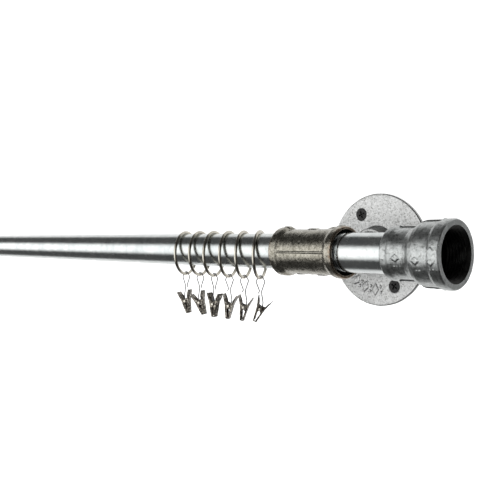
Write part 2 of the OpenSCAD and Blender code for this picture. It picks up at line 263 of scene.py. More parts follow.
def swept(name, path, wire_r, sides=12):
    """A round wire along path, an array of points in metres, with rounded ends."""
    count = len(path)
    tangent = np.gradient(path, axis=0)
    tangent /= np.linalg.norm(tangent, axis=1)[:, None]
    across = np.zeros_like(path)
    guess = X if abs(tangent[0] @ X) < 0.8 else Z
    across[0] = np.cross(tangent[0], np.cross(guess, tangent[0]))
    for i in range(1, count):
        across[i] = across[i - 1] - tangent[i] * (across[i - 1] @ tangent[i])
    across /= np.linalg.norm(across, axis=1)[:, None]
    other = np.cross(tangent, across)
    radius = wire_r * MM
    rings, radii, places = [], [], []
    for back, share in ((0.55, 0.55), (0.2, 0.9)):
        rings.append(0)
        radii.append(radius * share)
        places.append(path[0] - tangent[0] * radius * back)
    for i in range(count):
        rings.append(i)
        radii.append(radius)
        places.append(path[i])
    for ahead, share in ((0.2, 0.9), (0.55, 0.55)):
        rings.append(count - 1)
        radii.append(radius * share)
        places.append(path[-1] + tangent[-1] * radius * ahead)
    angles = np.arange(sides) * TURN / sides
    points = np.concatenate([
        place + r * (np.cos(angles)[:, None] * across[i] + np.sin(angles)[:, None] * other[i])
        for i, r, place in zip(rings, radii, places)
    ])
    total = len(rings)
    faces = [
        (i * sides + j, i * sides + (j + 1) % sides,
         (i + 1) * sides + (j + 1) % sides, (i + 1) * sides + j)
        for i in range(total - 1) for j in range(sides)
    ]
    faces += [tuple(range(sides))[::-1], tuple((total - 1) * sides + j for j in range(sides))]
    return outward(mesh_object(name, points, faces, sharp=60))


def arc(centre, radius, start, end, steps):
    """Points along a 2D arc."""
    a = np.linspace(start, end, steps + 1)
    return [np.array(centre, float) + radius * np.array((math.cos(t), math.sin(t))) for t in a]


def bent(points, radii, step):
    """A smooth open line through 2D points with bends of the given radii at the inner points."""
    pts = [np.array(p, float) for p in points]
    line = [pts[0]]
    for i in range(1, len(pts) - 1):
        before = (pts[i] - pts[i - 1]) / np.linalg.norm(pts[i] - pts[i - 1])
        after = (pts[i + 1] - pts[i]) / np.linalg.norm(pts[i + 1] - pts[i])
        turn = math.acos(max(-1, min(1, float(before @ after))))
        side = 1 if before[0] * after[1] - before[1] * after[0] > 0 else -1
        trim = radii[i - 1] * math.tan(turn / 2)
        to_centre = side * np.array((-before[1], before[0]))
        start = pts[i] - before * trim
        a0 = math.atan2(-to_centre[1], -to_centre[0])
        line += arc(start + to_centre * radii[i - 1], radii[i - 1], a0, a0 + side * turn, 8)
    line.append(pts[-1])
    fine = [line[0]]
    for a, b in zip(line, line[1:]):
        cuts = max(1, math.ceil(np.linalg.norm(b - a) / step))
        fine += [a + (b - a) * k / cuts for k in range(1, cuts + 1)]
    return fine


def thread(angles, r, h, start, end, crest, depth, pitch, hand=1):
    """Cuts a helical thread into r between heights start and end, fading out over one pitch."""
    phase = (h / pitch - hand * angles / TURN) % 1
    groove = np.clip(1.5 * np.abs(2 * phase - 1) - 0.25, 0, 1)
    fade = smoothstep(start - pitch * 0.3, start + pitch * 0.3, h) * (1 - smoothstep(end - pitch, end, h))
    return r + (crest - depth * groove - r) * fade


def vectors(items, field):
    """One row per item of a mesh's vector field."""
    values = np.zeros(len(items) * 3)
    items.foreach_get(field, values)
    return values.reshape(-1, 3)


def move_vertices(mesh, points):
    mesh.vertices.foreach_set("co", points.ravel())
    mesh.update()


def cast_noise(points, scale, seed):
    """Smooth noise, about -1 to 1, at points in metres; scale is the size of a lump in mm."""
    offset = Vector((seed * 7.1, seed * 3.3, seed * 5.7))
    return np.array([noise.noise(Vector(p) / (scale * MM) + offset) for p in points])


def roughen(obj, amount, scale, seed):
    """Moves every vertex along its normal by smooth noise of the given height in mm."""
    mesh = obj.data
    points, normals = vectors(mesh.vertices, "co"), vectors(mesh.vertex_normals, "vector")
    lumps = cast_noise(points, scale, seed) + 0.5 * cast_noise(points, scale * 0.4, seed + 1)
    move_vertices(mesh, points + normals * (lumps * amount * MM)[:, None])


def kept_in_box(obj):
    """Brings any vertex that stands out of the CAD model's box back to its face."""
    points = vectors(obj.data.vertices, "co")
    move_vertices(obj.data, np.clip(points, np.array(CAD_BOX[0]), np.array(CAD_BOX[1])))


def mirrored(obj, name):
    """A copy of a right-hand piece for the left-hand bracket."""
    mesh = obj.data.copy()
    mesh.name = name
    mesh.transform(Matrix.Translation((2 * MIRROR_X, 0, 0)) @ Matrix.Diagonal((-1, 1, 1, 1)))
    mesh.flip_normals()
    copy = bpy.data.objects.new(name, mesh)
    bpy.context.scene.collection.objects.link(copy)
    return copy


def baked(obj):
    """Applies the object's modifiers to its mesh."""
    graph = bpy.context.evaluated_depsgraph_get()
    made = bpy.data.meshes.new_from_object(obj.evaluated_get(graph))
    obj.modifiers.clear()
    obj.data = made


def finish_piece(obj, slot, body, *nodes):
    """Gives a rigid piece its material, its body and the CAD nodes that it stands for."""
    kept_in_box(obj)
    obj.data.materials.clear()
    obj.data.materials.append(MATERIALS[slot])
    for polygon in obj.data.polygons:
        polygon.material_index = 0
    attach(obj, body)
    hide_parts(*nodes)


# ---- materials ----


class Nodes:
    """Short names for the nodes of one material."""

    def __init__(self, name):
        self.material = bpy.data.materials.new(name)
        self.material.use_nodes = True
        self.tree = self.material.node_tree
        self.shader = next(n for n in self.tree.nodes if n.type == "BSDF_PRINCIPLED")
        self.place = self.add("ShaderNodeTexCoord").outputs["Object"]

    def add(self, kind, **settings):
        made = self.tree.nodes.new(kind)
        for key, value in settings.items():
            setattr(made, key, value)
        return made

    def link(self, output, socket):
        self.tree.links.new(output, socket)

    def stretched(self, x=1, y=1, z=1):
        node = self.add("ShaderNodeMapping")
        node.inputs["Scale"].default_value = (x, y, z)
        self.link(self.place, node.inputs["Vector"])
        return node.outputs["Vector"]

    def noise(self, size_mm, detail=3, roughness=0.55, place=None):
        node = self.add("ShaderNodeTexNoise")
        node.inputs["Scale"].default_value = 1 / (size_mm * MM)
        node.inputs["Detail"].default_value = detail
        node.inputs["Roughness"].default_value = roughness
        self.link(place or self.place, node.inputs["Vector"])
        return node.outputs["Fac"]

    def cells(self, size_mm):
        node = self.add("ShaderNodeTexVoronoi")
        node.inputs["Scale"].default_value = 1 / (size_mm * MM)
        self.link(self.place, node.inputs["Vector"])
        return node.outputs["Color"]

    def ramp(self, value, stops):
        """Maps a value to colours or greys; stops are (position, grey or (r, g, b))."""
        node = self.add("ShaderNodeValToRGB")
        elements = node.color_ramp.elements
        while len(elements) < len(stops):
            elements.new(0.5)
        for element, (position, colour) in zip(elements, stops):
            element.position = position
            rgb = (colour,) * 3 if isinstance(colour, (int, float)) else colour
            element.color = (*rgb, 1)
        self.link(value, node.inputs["Fac"])
        return node.outputs["Color"]

    def mix(self, share, a, b, blend="MIX"):
        """Mixes two colours; each is a socket or an (r, g, b); share is a socket or a number."""
        node = self.add("ShaderNodeMix", data_type="RGBA", blend_type=blend)
        for socket, value in ((node.inputs[0], share), (node.inputs[6], a), (node.inputs[7], b)):
            if isinstance(value, bpy.types.NodeSocket):
                self.link(value, socket)
            elif isinstance(value, (int, float)):
                socket.default_value = value
            else:
                socket.default_value = (*value, 1)
        return node.outputs[2]

    def maths(self, operation, a, b=0):
        node = self.add("ShaderNodeMath", operation=operation)
        for socket, value in zip(node.inputs, (a, b)):
            if isinstance(value, bpy.types.NodeSocket):
                self.link(value, socket)
            else:
                socket.default_value = value
        return node.outputs[0]

    def edges(self, low, high):
        """Near 1 on convex edges, from the mesh's own curvature."""
        pointy = self.add("ShaderNodeNewGeometry").outputs["Pointiness"]
        return self.ramp(pointy, ((low, 0.0), (high, 1.0)))

    def bump(self, height, distance_mm, strength=1, after=None):
        node = self.add("ShaderNodeBump")
        node.inputs["Distance"].default_value = distance_mm * MM
        node.inputs["Strength"].default_value = strength
        self.link(height, node.inputs["Height"])
        if after:
            self.link(after, node.inputs["Normal"])
        return node.outputs["Normal"]

    def done(self, colour, roughness, normal, metallic=1.0):
        self.link(colour, self.shader.inputs["Base Color"])
        self.link(roughness, self.shader.inputs["Roughness"])
        self.link(normal, self.shader.inputs["Normal"])
        self.shader.inputs["Metallic"].default_value = metallic
        return self.material


def galvanised_pipe():
    """Satin zinc on pipe: pale patches, scratches along the pipe and a little grime."""
    n = Nodes("galvanised_pipe")
    along = n.stretched(0.25, 1, 1)
    spangle = n.ramp(n.cells(5), ((0.0, 0.3), (1.0, 0.7)))
    patches = n.noise(11, 4)
    streaks = n.noise(1.6, 3, place=along)
    base = n.ramp(patches, ((0.3, (0.50, 0.53, 0.53)), (0.7, (0.66, 0.68, 0.67))))
    base = n.mix(0.10, base, spangle, "SOFT_LIGHT")
    scratches = n.ramp(streaks, ((0.62, 0.0), (0.72, 1.0)))
    base = n.mix(n.maths("MULTIPLY", scratches, 0.22), base, (0.78, 0.79, 0.78))
    grime = n.ramp(n.noise(4, 5, 0.65), ((0.60, 0.0), (0.74, 1.0)))
    base = n.mix(n.maths("MULTIPLY", grime, 0.35), base, (0.27, 0.27, 0.24))
    rough = n.ramp(n.noise(3, 4), ((0.3, 0.15), (0.75, 0.28)))
    waves = n.bump(n.noise(7, 2, place=n.stretched(0.35, 1, 1)), 0.3, 0.3)
    grain = n.bump(n.noise(0.9, 3, place=n.stretched(0.4, 1, 1)), 0.05, 0.22, waves)
    return n.done(base, rough, grain)


def cast_surface(name, dark, light, dirt, rough, blotch_mm, pit_mm, lump_mm, spots):
    """A cast fitting: sandy grain, larger lumps, dirt in the hollows and bright edges, partly wear and
    partly painted highlight.
    """
    n = Nodes(name)
    base = n.ramp(n.noise(blotch_mm, 5, 0.65), ((0.32, dark), (0.68, light)))
    pits = n.ramp(n.noise(pit_mm, 3, 0.6), ((0.54, 0.0), (0.64, 1.0)))
    base = n.mix(n.maths("MULTIPLY", pits, spots), base, dirt)
    # convex edges painted brighter: partly edge wear, partly a painted highlight along band edges and
    # ribs
    bright_edges = n.edges(0.52, 0.6)
    base = n.mix(n.maths("MULTIPLY", bright_edges, 0.5), base, tuple(min(1, c * 1.35) for c in light))
    gloss = n.ramp(n.noise(2.2, 4), ((0.3, rough), (0.75, rough + 0.16)))
    lumps = n.bump(n.noise(lump_mm, 3, 0.5), 0.3, 0.4)
    grain = n.bump(n.noise(pit_mm * 0.7, 4, 0.65), 0.16, 0.75, lumps)
    return n, base, gloss, grain


def galvanised_flange():
    n, base, rough, grain = cast_surface(
        "galvanised_flange", (0.46, 0.465, 0.46), (0.62, 0.625, 0.62), (0.16, 0.16, 0.15),
        0.36, 1.8, 1.2, 6, 0.72)
    return n.done(base, rough, grain)


def galvanised_reducer():
    n, base, rough, grain = cast_surface(
        "galvanised_reducer", (0.33, 0.345, 0.34), (0.50, 0.515, 0.51), (0.12, 0.12, 0.11),
        0.26, 2.6, 1.4, 3.4, 0.6)
    return n.done(base, rough, grain)


def malleable_tee():
    """Dull olive-grey iron, rusty at the lips of the straight run."""
    n, base, rough, grain = cast_surface(
        "malleable_tee", (0.17, 0.16, 0.13), (0.46, 0.44, 0.38), (0.05, 0.045, 0.033),
        0.16, 2.2, 1.2, 3, 0.65)
    apart = n.add("ShaderNodeSeparateXYZ")
    n.link(n.place, apart.inputs[0])
    from_mirror = n.maths("ABSOLUTE", n.maths("SUBTRACT", apart.outputs["X"], MIRROR_X))
    from_middle = n.maths("ABSOLUTE", n.maths("SUBTRACT", from_mirror, abs(MIRROR_X)))
    lip = n.ramp(n.maths("MULTIPLY", from_middle, 1 / (40 * MM)), ((0.66, 0.0), (0.72, 1.0)))
    rust = n.mix(n.ramp(n.noise(2, 4), ((0.35, 0.2), (0.6, 1.0))), (0, 0, 0), lip)
    base = n.mix(n.maths("MULTIPLY", rust, 0.55), base, (0.24, 0.13, 0.07))
    return n.done(base, rough, grain)


def black_screw():
    n = Nodes("black_screw")
    base = n.ramp(n.noise(1.5, 4), ((0.3, (0.012, 0.012, 0.013)), (0.7, (0.035, 0.034, 0.033))))
    base = n.mix(n.maths("MULTIPLY", n.edges(0.53, 0.62), 0.4), base, (0.16, 0.16, 0.16))
    rough = n.ramp(n.noise(1, 3), ((0.3, 0.32), (0.7, 0.5)))
    return n.done(base, rough, n.bump(n.noise(0.4, 3), 0.03, 0.4), 0.7)


def plated(name, dark, light, rough_low, rough_high, stain=0.25):
    """Bright nickel plate with faint stains and fine polishing lines."""
    n = Nodes(name)
    base = n.ramp(n.noise(5, 4), ((0.3, dark), (0.7, light)))
    stains = n.ramp(n.noise(2.2, 5, 0.65), ((0.56, 0.0), (0.7, 1.0)))
    base = n.mix(n.maths("MULTIPLY", stains, stain), base, tuple(c * 0.5 for c in dark))
    rough = n.ramp(n.noise(1.4, 4), ((0.3, rough_low), (0.75, rough_high)))
    fine = n.bump(n.noise(0.35, 3), 0.02, 0.3)
    return n.done(base, rough, n.bump(n.noise(2.5, 2), 0.08, 0.3, fine))


def stamped_nickel():
    """Old bright plate on thin sheet: nearly black in patches, with bright worn flecks and dents."""
    n = Nodes("clip_jaw")
    black, bright = (0.024, 0.021, 0.017), (0.38, 0.35, 0.30)
    patches = n.ramp(n.noise(2.0, 5, 0.7), ((0.47, black), (0.64, bright)))
    flecks = n.ramp(n.noise(1.1, 3, 0.6), ((0.62, 0.0), (0.68, 1.0)))
    base = n.mix(flecks, patches, (0.85, 0.82, 0.74))
    bright_edges = n.edges(0.52, 0.6)
    base = n.mix(n.maths("MULTIPLY", bright_edges, 0.12), base, (0.7, 0.66, 0.58))
    rough = n.ramp(n.noise(1.2, 3), ((0.3, 0.06), (0.75, 0.2)))
    dents = n.bump(n.noise(1.7, 2), 0.7, 0.8)
    return n.done(base, rough, n.bump(n.noise(0.4, 3), 0.04, 0.4, dents))


def socket_painted_shade():
    """Painted shade for the threaded inside of the reducer and the mouths of the tee."""
    n = Nodes("socket_painted_shade")
    base = n.ramp(n.noise(3, 4), ((0.3, (0.018, 0.018, 0.017)), (0.7, (0.05, 0.05, 0.048))))
    rough = n.ramp(n.noise(1.2, 3), ((0.3, 0.4), (0.75, 0.6)))
    return n.done(base, rough, n.bump(n.noise(0.6, 3), 0.05, 0.4))


MATERIALS = {
    "galvanised_pipe": galvanised_pipe(),
    "galvanised_flange": galvanised_flange(),
    "malleable_tee": malleable_tee(),
    "galvanised_reducer": galvanised_reducer(),
    "black_screw": black_screw(),
    "nickel_ring": plated("nickel_ring", (0.40, 0.375, 0.32), (0.60, 0.57, 0.50), 0.07, 0.18),
    "hook_wire": plated("hook_wire", (0.13, 0.13, 0.135), (0.30, 0.30, 0.31), 0.18, 0.32),
    "spring_wire": plated("spring_wire", (0.20, 0.18, 0.15), (0.40, 0.37, 0.33), 0.12, 0.25),
    "clip_pin": plated("clip_pin", (0.50, 0.47, 0.41), (0.64, 0.61, 0.54), 0.14, 0.26),
    "clip_jaw": stamped_nickel(),
}
# painted shade for the recessed insides of the reducer and the tee
SOCKET_PAINTED_SHADE = socket_painted_shade()

# ---- bracket pieces, built for the right-hand side ----


def pipe_piece(name, base, length, thread_l, around=128):
    """A pipe with a helical thread cut into both ends."""
    chamfer, step = 0.8, 0.22
    low = np.arange(chamfer, thread_l + 1.2, step)
    middle = np.arange(low[-1] + 3, length - thread_l - 4, 6.0)
    high = length - low[::-1]
    heights = np.concatenate([low, middle, high])
    end_r = THREAD_R - THREAD_DEPTH
    outer = [(end_r, 0.0)] + [(PIPE_R, h) for h in heights] + [(end_r, length)]
    outline = np.array(outer + [(PIPE_BORE_R, h) for h in (length, length / 2, 0.0)])

    def cut(angles, r, h):
        outside = r > PIPE_R - 0.01
        sizes = (0, thread_l, THREAD_R, THREAD_DEPTH, THREAD_PITCH)
        near = thread(angles, r, h, *sizes)
        both = thread(angles, near, length - h, *sizes, hand=-1)
        return np.where(outside, both, r), h

    return turned(name, outline, base, around, cut)


def make_rod():
    low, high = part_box("rod")
    base = Frame((low.x, ROD_Y, 0), Z, X)
    length = (high.x - low.x) / MM
    return pipe_piece("rod_piece", base, length, THREAD_ENGAGED + 0.6)


def make_end_nipple():
    low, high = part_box("right_end_nipple")
    base = Frame((low.x, ROD_Y, 0), Z, X)
    return pipe_piece("right_end_nipple_piece", base, (high.x - low.x) / MM, NIPPLE_THREAD)


def make_standoff():
    low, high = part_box("right_standoff_nipple")
    base = Frame((0, high.y, 0), X, -Y)
    return pipe_piece("right_standoff_nipple_piece", base, (high.y - low.y) / MM, NIPPLE_THREAD)


def raised_bar(across, along, length, width, soft=0.3):
    """1 on a rounded bar of the given size centred at zero, fading to 0 around it."""
    side = 1 - smoothstep(width / 2 - soft / 2, width / 2 + soft, np.abs(across))
    end = 1 - smoothstep(length / 2 - soft / 2, length / 2 + soft, np.abs(along))
    return side * end


def raised_lozenge(across, along, length, width, soft=0.5):
    """A filled diamond, 1 on its top and 0 around it."""
    edge = np.abs(across) / (width / 2) + np.abs(along) / (length / 2)
    return 1 - smoothstep(1 - soft / 2, 1 + soft / 2, edge)


def raised_pips(across, along, spacing, radius, count=3):
    """A row of round pips along the second direction."""
    rows = (np.hypot(across, along - spacing * (k - (count - 1) / 2)) for k in range(count))
    return sum(1 - smoothstep(radius - 0.25, radius + 0.25, away) for away in rows)


def make_reducer():
    """Beaded bands, a barrel, a shoulder, cast ribs, raised marks and a threaded mouth."""
    base = Frame(ON_ROD + X * REDUCER_X * MM, Z, X)
    l = REDUCER_L
    outside = [
        (16.7, 0), (17.4, 0.7), (17.5, 2.6), (17.4, 4.6), (16.7, 5.9), (16.35, 7.4),
        (16.3, l * 0.37), (17.1, l * 0.43), (19.3, l * 0.5), (20.0, l * 0.56), (20.1, l - 9.0),
        (20.6, l - 7.6), (21.4, l - 6.8), (21.5, l - 4.0), (21.45, l - 1.0), (20.8, l)]
    mouth = [(17.6, l), (REDUCER_SOCKET_R + 0.6, l - 2.1)]
    socket_end = l - REDUCER_SOCKET_DEPTH
    inside = [(FITTING_BORE_R, socket_end), (FITTING_BORE_R, 13.5),
              (FITTING_SOCKET_R, 13.5), (FITTING_SOCKET_R, 0)]
    outer = rounded(outside, 1.0, 0.35, closed=False)
    bore = np.array([(REDUCER_SOCKET_R, h) for h in np.arange(l - 2.2, socket_end, -0.25)])
    outline = np.concatenate([outer, mouth, bore, inside])
    outer_count = len(outer)
    # height along the reducer, angle in degrees, then length and width, or the number of pips
    lozenges = (
        (11.5, 98, 6.0, 4.6), (27.5, 100, 5.6, 4.6), (38.6, 84, 4.4, 4.4), (38.6, 101, 4.4, 4.4))
    pips = ((3.0, 100, 1), (12.0, 118, 3), (28.5, 119, 2), (38.6, 114, 2))

    def shape(angles, r, h):
        column = np.arange(r.shape[1])[None, :] * np.ones((r.shape[0], 1))
        skin = column < outer_count
        on_barrel = smoothstep(4.6, 5.4, h) * (1 - smoothstep(l - 7.4, l - 6.6, h))
        from_ribs = (np.abs((angles - c + 0.5) % TURN - 0.5) for c in (0.0, math.pi))
        rib = sum(1 - smoothstep(0.06, 0.1, away) for away in from_ribs)
        seam = bump_at(math.pi / 2, 0.03, angles) * 0.1
        lift = on_barrel * (0.9 * rib + seam)
        for at_h, degrees, length, width in lozenges:
            around = (angles - math.radians(degrees)) * r
            lift = lift + MARK_RISE * raised_lozenge(around, h - at_h, length, width)
        for at_h, degrees, count in pips:
            around = (angles - math.radians(degrees)) * r
            lift = lift + PIP_RISE * raised_pips(around, h - at_h, 2.0, 0.7, count)
        bored = thread(angles, r, l - h, 1.8, 15.5, REDUCER_SOCKET_R + 1.0, 1.0, 2.3)
        in_socket = (~skin) & (r > REDUCER_SOCKET_R - 0.01) & (h < l - 2.15) & (h > socket_end)
        return np.where(in_socket, np.maximum(bored, REDUCER_SOCKET_R), r + skin * lift), h

    return turned("right_reducer_piece", outline, base, 330, shape)


def screw_places():
    """The two screw holes, as x and y on the flange."""
    turns = [math.radians(SCREW_ANGLE) + k * math.pi for k in (0, 1)]
    return [(SCREW_CIRCLE_R * math.cos(a), SCREW_CIRCLE_R * math.sin(a)) for a in turns]


def make_flange():
    """A cast plate with a rolled rim, dished screw holes, a hub and raised marks."""
    low_edge = [(FITTING_SOCKET_R, 0), (FLANGE_R - 0.7, 0), (FLANGE_R, 0.8), (FLANGE_R, 3.0),
                (FLANGE_R - 0.6, 3.8), (FLANGE_R - 1.8, 4.0)]
    top = [(HUB_R + 5.4, 4.2), (HUB_R + 2.2, 4.9), (HUB_R + 0.7, 6.4), (HUB_R + 0.1, 9.0),
           (HUB_R, HUB_H - 2.6), (HUB_R, HUB_H - 0.9), (HUB_R - 0.6, HUB_H - 0.1),
           (HUB_R - 1.4, HUB_H), (HUB_R - 2.6, HUB_H), (FITTING_SOCKET_R, HUB_H - 1.0)]
    outline = rounded(low_edge + top, 0.8, 0.4)
    holes = screw_places()

    def shape(angles, r, h):
        x, y = r * np.cos(angles), r * np.sin(angles)
        front = h > 2.0
        for hx, hy in holes:
            away = np.hypot(x - hx, y - hy)
            dish = np.clip((SCREW_HEAD_R + 0.35 - away) / 1.0, 0, 2.5)
            h = np.where(front, h - dish, h)
        along = r - FLANGE_MARK_R
        marks = 0
        for degrees in (231, 249, 267):
            around = (angles - math.radians(degrees)) * r
            marks = marks + raised_lozenge(around, along, 9.5, 6.0)
        for degrees in (222, 240, 258, 276):
            around = (angles - math.radians(degrees)) * r
            marks = marks + raised_pips(around, along, 4.2, 1.0, 2)
        plate = (h > 3.2) & (h < 4.6)
        h = np.where(plate, h + FLANGE_MARK_RISE * np.clip(marks, 0, 1), h)
        return r, h

    return turned("right_flange_piece", outline, OUT, 540, shape)


def tee_branch_outline(half):
    """Half section of one arm of the tee, from its middle to its lipped mouth."""
    r, band = TEE_BODY_R, TEE_BAND_R
    return [(0, -3), (r, -3), (r, half - TEE_BAND_W - 2.2), (r + 0.6, half - TEE_BAND_W - 1.0),
            (band - 0.5, half - TEE_BAND_W), (band, half - TEE_BAND_W + 1.0), (band, half - 1.1),
            (band - 0.35, half - 0.4), (band - 1.0, half), (0, half)]


def make_tee():
    """Three lipped arms joined with cast fillets and bored through, with a parting line."""
    frames = [Frame(ON_ROD, Z, axis) for axis in (X, -X, Y)]
    outline = rounded(tee_branch_outline(TEE_HALF), 0.6, 2.0, closed=False)
    seat = TEE_HALF - 13.6
    bore = np.array([
        (0, 0.3), (FITTING_BORE_R, 0.3), (FITTING_BORE_R, seat), (FITTING_SOCKET_R, seat),
        (FITTING_SOCKET_R, TEE_HALF - 5), (TEE_MOUTH_R - 0.4, TEE_HALF - 3.2),
        (TEE_MOUTH_R, TEE_HALF + 0.1), (TEE_MOUTH_R, TEE_HALF + 3), (0, TEE_HALF + 3)], float)
    arms = [turned(f"arm_{k}", outline, base, 96, closed=False) for k, base in enumerate(frames)]
    cuts = [turned(f"cut_{k}", bore, base, 96, closed=False) for k, base in enumerate(frames)]
    body = arms[0]
    for other, how in [(arm, "UNION") for arm in arms[1:]] + [(cut, "DIFFERENCE") for cut in cuts]:
        step = body.modifiers.new(other.name, "BOOLEAN")
        step.operation, step.object, step.solver = how, other, "EXACT"
    remesh = body.modifiers.new("cast", "REMESH")
    remesh.mode, remesh.voxel_size = "VOXEL", 0.42 * MM
    smooth = body.modifiers.new("soften", "SMOOTH")
    smooth.factor, smooth.iterations = 0.5, 6
    baked(body)
    for other in arms[1:] + cuts:
        bpy.data.objects.remove(other)
    body.name = body.data.name = "right_tee_piece"
    mesh = body.data
    mesh.shade_smooth()
    points, normals = vectors(mesh.vertices, "co"), vectors(mesh.vertex_normals, "vector")
    side = np.hypot(points[:, 1] - ROD_Y, points[:, 2]) / MM
    line = bump_at(0, 0.95, points[:, 2] / MM) * (side > TEE_BODY_R - 1) * (points[:, 1] < ROD_Y)
    inner = np.abs(points[:, 0]) / MM < TEE_HALF - TEE_BAND_W - 1
    lift = line * inner * 0.5
    local = (points - ON_ROD) / MM
    # place along the run, top (1) or underside (-1), and length of each cast pad
    for at_x, up, length in ((0, 1, 7), (-24, 1, 5), (24, 1, 5), (-12, -1, 5), (8, -1, 6)):
        pad = raised_bar(local[:, 1], local[:, 0] - at_x, length, 5) * (up * local[:, 2] > 12)
        lift = np.maximum(lift, TEE_MARK_RISE * pad)
    move_vertices(mesh, points + normals * (lift * MM)[:, None])
    return body


def make_screws():
    """Two countersunk screws with a cross recess and a coarse wood thread."""
    parts = []
    for k, (hole_x, hole_y) in enumerate(screw_places()):
        origin = OUT.place(hole_x, hole_y, 0)
        spin = math.radians(20 + 37 * k)
        first = X * math.cos(spin) + Z * math.sin(spin)
        base = Frame(origin, first, -Y)
        radii = np.arange(0, SCREW_HEAD_R, 0.16)
        head = [(r, FLANGE_T - 0.03 * (r / SCREW_HEAD_R) ** 2) for r in radii]
        flank = [(SCREW_HEAD_R, FLANGE_T - 0.15), (SCREW_HEAD_R, FLANGE_T - 0.35),
                 (SCREW_SHANK_R, FLANGE_T - 2.6), (SCREW_SHANK_R, -7.9)]
        shank = [(SCREW_SHANK_R, -h) for h in np.arange(8, SCREW_TIP - 0.2, 0.3)]
        outline = np.array(head + flank + shank + [(0.05, 0.01 - SCREW_TIP), (0, -SCREW_TIP)])

        def shape(angles, r, h):
            x, y = r * np.cos(angles), r * np.sin(angles)
            top = h > FLANGE_T - 0.2
            cross = smoothstep(0.62, 0.42, np.abs(x)) + smoothstep(0.62, 0.42, np.abs(y))
            arm = np.minimum(cross, 1)
            deep = 1.5 * arm * smoothstep(2.9, 2.2, np.hypot(x, y))
            taper = np.clip((SCREW_TIP + h) / 5, 0.02, 1)
            threaded = h < -8
            cut = thread(angles, r, -h, 8.5, SCREW_TIP + 2, SCREW_SHANK_R, 0.75, 2.4)
            cut = cut * np.where(threaded, taper, 1)
            return np.where(threaded, np.minimum(cut, r), r), np.where(top, h - deep, h)

        parts.append(turned(f"screw_{k}", outline, base, 72, shape, closed=False))
    return joined("right_wall_screws_piece", parts)


def joined(name, parts):
    """One object from several."""
    points, faces = [], []
    for part in parts:
        start = len(points)
        points += [tuple(v.co) for v in part.data.vertices]
        faces += [tuple(start + i for i in p.vertices) for p in part.data.polygons]
        bpy.data.objects.remove(part)
    return mesh_object(name, np.array(points), faces)


def paint_tee_mouth_shade(obj):
    """Gives the inside of the tee's mouths the painted-shade material."""
    obj.data.materials.append(SOCKET_PAINTED_SHADE)
    inside_r = TEE_MOUTH_R - 0.1
    for polygon in obj.data.polygons:
        c = polygon.center
        from_branch = abs(abs(c.x - MIRROR_X) - abs(MIRROR_X))
        in_run = math.hypot(c.y - ROD_Y, c.z) / MM < inside_r
        in_branch = c.y > ROD_Y + 12 * MM and math.hypot(from_branch, c.z) / MM < inside_r
        if in_run or in_branch:
            polygon.material_index = 1


def paint_socket_shade(obj):
    """Gives the threaded inside of the reducer the painted-shade material."""
    obj.data.materials.append(SOCKET_PAINTED_SHADE)
    for polygon in obj.data.polygons:
        c = polygon.center
        radius = math.hypot(c.y - ROD_Y, c.z) / MM
        if radius < REDUCER_INSIDE_R:
            outer = abs(polygon.normal.y) + abs(polygon.normal.z) > 0.1
            inward = (polygon.normal.y * (c.y - ROD_Y) + polygon.normal.z * c.z) < 0
            if inward or not outer:
                polygon.material_index = 1


def make_brackets():
    """The rod, the right-hand bracket and its mirror image."""
    root = "bracketed_rod"
    finish_piece(make_rod(), "galvanised_pipe", root, "rod")
    builders = (
        ("flange", make_flange, "galvanised_flange"),
        ("wall_screws", make_screws, "black_screw"),
        ("standoff_nipple", make_standoff, "galvanised_pipe"),
        ("tee", make_tee, "malleable_tee"),
        ("end_nipple", make_end_nipple, "galvanised_pipe"),
        ("reducer", make_reducer, "galvanised_reducer"),
    )
    rough = {"flange": (0.10, 5.0), "reducer": (0.12, 6.0), "tee": (0.12, 7.0)}
    for seed, (part, build, slot) in enumerate(builders):
        right = build()
        if part in rough:
            roughen(right, *rough[part], seed)
        left = mirrored(right, f"left_{part}_piece")
        for side, obj in (("right", right), ("left", left)):
            finish_piece(obj, slot, root, f"{side}_{part}")
            # the insides of the reducer and the tee get painted shade
            if part == "reducer":
                paint_socket_shade(obj)
            if part == "tee":
                paint_tee_mouth_shade(obj)


# ---- rings, hooks and clips ----


def make_ring(k, centre, axis):
    """A wire ring with a faint weld."""
    base = Frame(centre, Z, axis)
    angles = np.arange(24) * TURN / 24
    outline = np.stack([RING_R + RING_WIRE_R * np.cos(angles), RING_WIRE_R * np.sin(angles)], 1)
    weld_at = math.radians(150 + 40 * k)

    def shape(theta, r, h):
        weld = bump_at(0, 0.05, (theta - weld_at + math.pi) % TURN - math.pi) * 0.03
        return RING_R + (r - RING_R) * (1 - weld), h * (1 - weld)

    return turned(f"ring_{k}_piece", outline, base, 180, shape)


def hook_leg(neck, foot, neck_r):
    """Corner points and bend radii of one leg, from the end of the arch downwards."""
    arch_end = HOOK_ARCH_R * np.array((math.cos(HOOK_FLANK), math.sin(HOOK_FLANK)))
    knee = arch_end + 4 * np.array((math.sin(HOOK_FLANK), -math.cos(HOOK_FLANK)))
    return [arch_end, knee, neck, foot], [1.1, neck_r]


